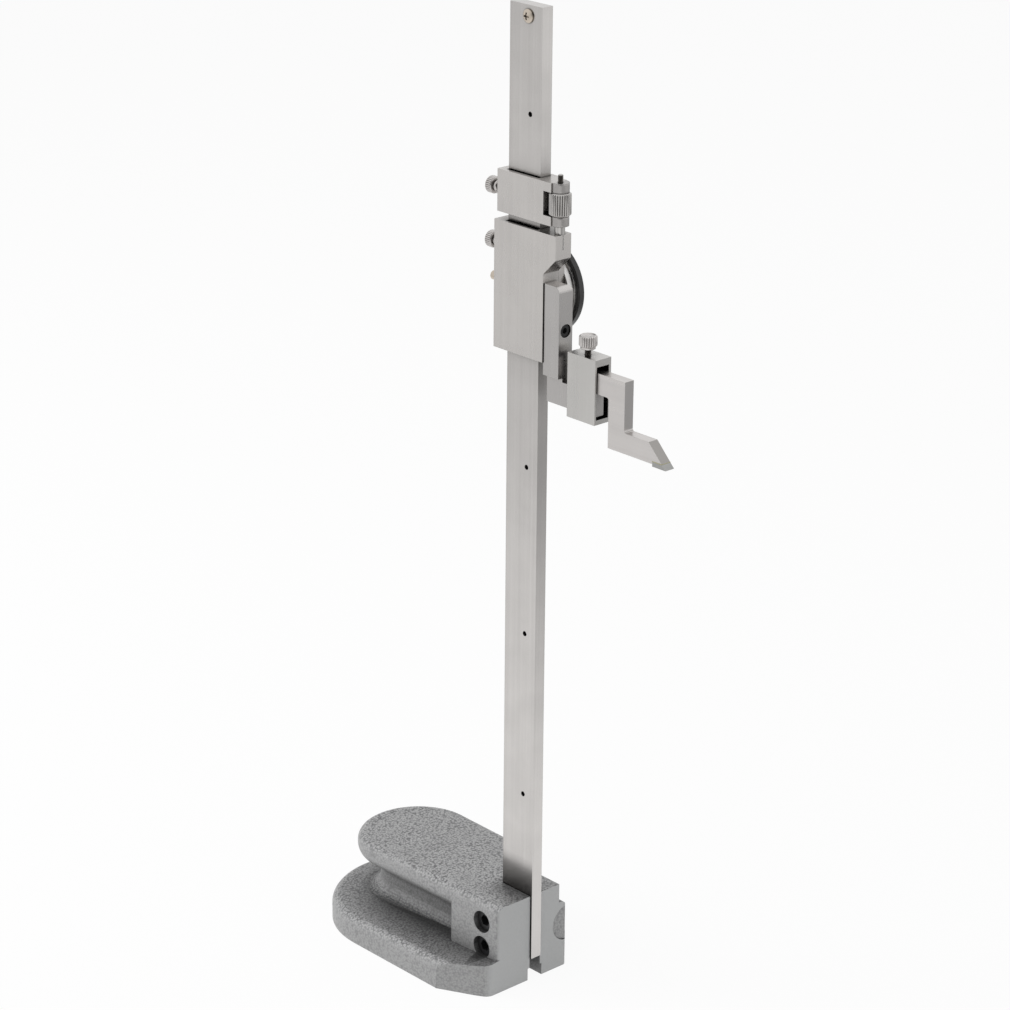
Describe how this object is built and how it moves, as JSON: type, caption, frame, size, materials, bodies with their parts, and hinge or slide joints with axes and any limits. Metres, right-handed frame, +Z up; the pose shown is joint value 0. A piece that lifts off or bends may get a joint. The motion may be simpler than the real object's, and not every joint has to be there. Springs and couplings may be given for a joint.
{
  "type": "dial height gauge",
  "caption": "Dial height gauge with a cast base, an upright beam, and a carriage with fine adjustment, a jaw, a clamped scriber and a dial.",
  "frame": {"origin": "centre of the base's rounded end, on the underside that stands on the surface plate", "axes": "+Z up along the beam; -X towards the scriber's tip; -Y out of the dial's face"},
  "size_m": [0.2071, 0.09, 0.461],
  "materials": {
    "hammertone_paint": "hammertone enamel",
    "ground_steel": "satin ground",
    "bright_steel": "bright plated",
    "black_oxide": "black oxide",
    "bezel_black": "satin black",
    "brass": "turned",
    "carbide": "ground",
    "dial_white": "matt white",
    "pointer_black": "satin",
    "crystal_clear": "polished"
  },
  "bodies": {
    "base": {"base_casting": "hammertone_paint", "beam_clamp_screws": "black_oxide", "beam": "ground_steel", "rack": "ground_steel", "rack_pins": "bright_steel", "stop_screw": "brass"},
    "carriage": {"carriage_body": "ground_steel", "carriage_front_plate": "ground_steel", "front_plate_screws": "black_oxide", "gib_strip": "brass", "gib_spring": "bright_steel", "carriage_lock_pad": "brass", "drag_pad": "brass", "fine_adjust_stud": "bright_steel", "jaw": "ground_steel", "jaw_screw": "black_oxide", "jaw_dowels": "bright_steel", "pinion_bush": "brass", "dial_case": "bright_steel", "case_screws": "bright_steel", "movement_bridge": "brass", "movement_pillars": "brass", "bridge_screws": "bright_steel", "bezel_spring": "bright_steel", "hairspring": "bright_steel"},
    "carriage_lock": {"carriage_lock_screw": "bright_steel"},
    "drag": {"drag_screw": "brass"},
    "fine_block": {"fine_adjust_block": "ground_steel", "fine_adjust_cover": "ground_steel", "fine_adjust_cover_screws": "black_oxide", "fine_adjust_pad": "brass"},
    "fine_lock": {"fine_adjust_lock_screw": "bright_steel"},
    "fine_nut": {"fine_adjust_nut": "bright_steel"},
    "clamp_box": {"scriber_clamp_box": "ground_steel"},
    "clamp_screw": {"scriber_clamp_screw": "bright_steel"},
    "scriber": {"scriber": "ground_steel", "carbide_tip": "carbide"},
    "bezel": {"bezel": "bezel_black", "crystal": "crystal_clear", "dial_face": "dial_white"},
    "pinion": {"rack_pinion": "bright_steel", "drive_gear": "brass"},
    "pointer": {"pointer_pinion": "bright_steel", "pointer": "pointer_black"},
    "take_up": {"take_up_gear": "brass"}
  },
  "joints": [
    {"name": "carriage_slide", "type": "slide", "parent": "base", "child": "carriage", "axis": [0, 0, 1], "range_m": [-0.2625, 0.06]},
    {"name": "carriage_lock_turn", "type": "hinge", "parent": "carriage", "child": "carriage_lock", "pos_m": [-0.0573, 0.00485, 0.3535], "axis": [1, 0, 0], "range_deg": [-20, 340]},
    {"name": "drag_turn", "type": "hinge", "parent": "carriage", "child": "drag", "pos_m": [-0.0573, 0.00485, 0.3372], "axis": [1, 0, 0], "range_deg": [-20, 340]},
    {"name": "fine_adjust", "type": "slide", "parent": "carriage", "child": "fine_block", "axis": [0, 0, 1], "range_m": [-0.0025, 0.005]},
    {"name": "fine_lock_turn", "type": "hinge", "parent": "fine_block", "child": "fine_lock", "pos_m": [-0.0573, 0.00485, 0.378], "axis": [1, 0, 0], "range_deg": [-20, 340]},
    {"name": "fine_nut_turn", "type": "hinge", "parent": "fine_block", "child": "fine_nut", "pos_m": [-0.0938, 0.00495, 0.3781], "axis": [0, 0, 1], "range_deg": [-2010, 4010]},
    {"name": "clamp_box_slide", "type": "slide", "parent": "carriage", "child": "clamp_box", "axis": [-1, 0, 0], "range_m": [-0.0035, 0.002]},
    {"name": "clamp_screw_turn", "type": "hinge", "parent": "clamp_box", "child": "clamp_screw", "pos_m": [-0.1112, 0.0038, 0.3185], "axis": [0, 0, 1], "range_deg": [-20, 340]},
    {"name": "scriber_slide", "type": "slide", "parent": "carriage", "child": "scriber", "axis": [-1, 0, 0], "range_m": [-0.004, 0.006]},
    {"name": "bezel_turn", "type": "hinge", "parent": "carriage", "child": "bezel", "pos_m": [-0.073, -0.0075, 0.3345], "axis": [0, -1, 0], "continuous": true},
    {"name": "pinion_turn", "type": "hinge", "parent": "carriage", "child": "pinion", "pos_m": [-0.07211, -0.0015, 0.32705], "axis": [0, -1, 0], "continuous": true},
    {"name": "pointer_turn", "type": "hinge", "parent": "carriage", "child": "pointer", "pos_m": [-0.073, -0.0045, 0.3345], "axis": [0, -1, 0], "continuous": true},
    {"name": "take_up_turn", "type": "hinge", "parent": "carriage", "child": "take_up", "pos_m": [-0.07389, -0.0045, 0.34195], "axis": [0, -1, 0], "continuous": true}
  ],
  "couplings": [
    {"joint": "fine_nut_turn", "follows": "fine_adjust", "rad_per_m": 13963},
    {"joint": "pinion_turn", "follows": "carriage_slide", "rad_per_m": 628.32},
    {"joint": "pointer_turn", "follows": "carriage_slide", "rad_per_m": -3141.6},
    {"joint": "take_up_turn", "follows": "carriage_slide", "rad_per_m": 628.32}
  ]
}
